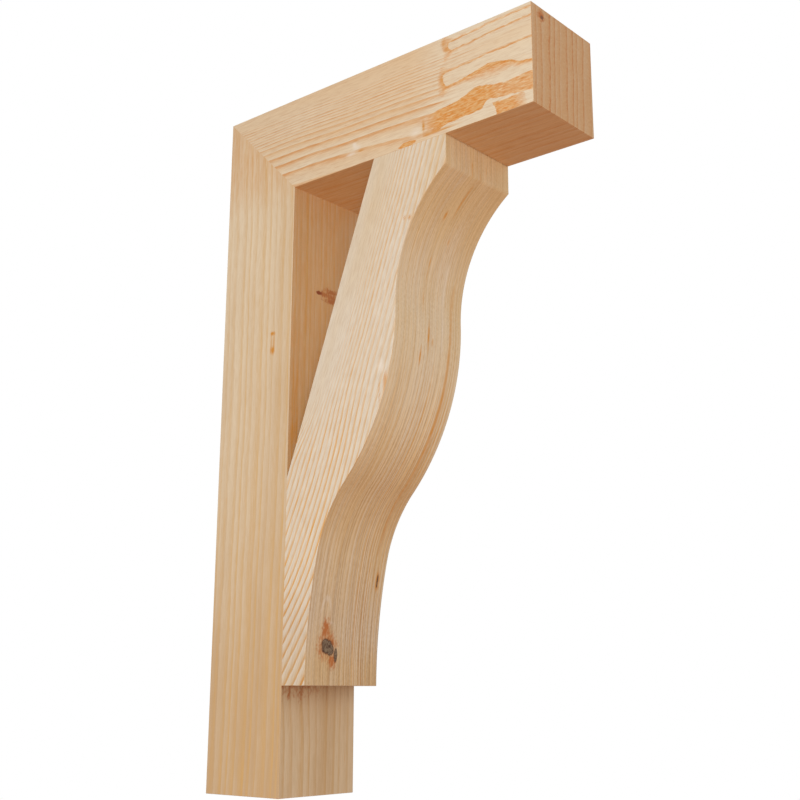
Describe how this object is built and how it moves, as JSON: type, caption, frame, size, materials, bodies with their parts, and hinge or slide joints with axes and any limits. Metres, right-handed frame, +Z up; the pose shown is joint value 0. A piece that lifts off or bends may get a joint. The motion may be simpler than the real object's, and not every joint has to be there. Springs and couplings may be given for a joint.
{
  "type": "timber corbel bracket",
  "caption": "Wall bracket of square timber: an upright leg and a level arm mitred together and propped by an S-curved brace, to carry an eave, shelf or beam.",
  "frame": {"origin": "centre of the leg's back face, which bears on the wall", "axes": "+X out from the wall along the arm, +Y across the bracket's width, +Z up"},
  "size_m": [0.4064, 0.1016, 0.7112],
  "materials": {
    "leg_timber": "planed and sanded bare softwood, even upright grain",
    "arm_timber": "planed and sanded bare softwood, flat-sawn with orange flame figure",
    "brace_timber": "sawn and sanded bare softwood, grain along the brace"
  },
  "bodies": {
    "root": {"wall_leg": "leg_timber", "top_arm": "arm_timber", "curved_brace": "brace_timber"}
  },
  "joints": []
}
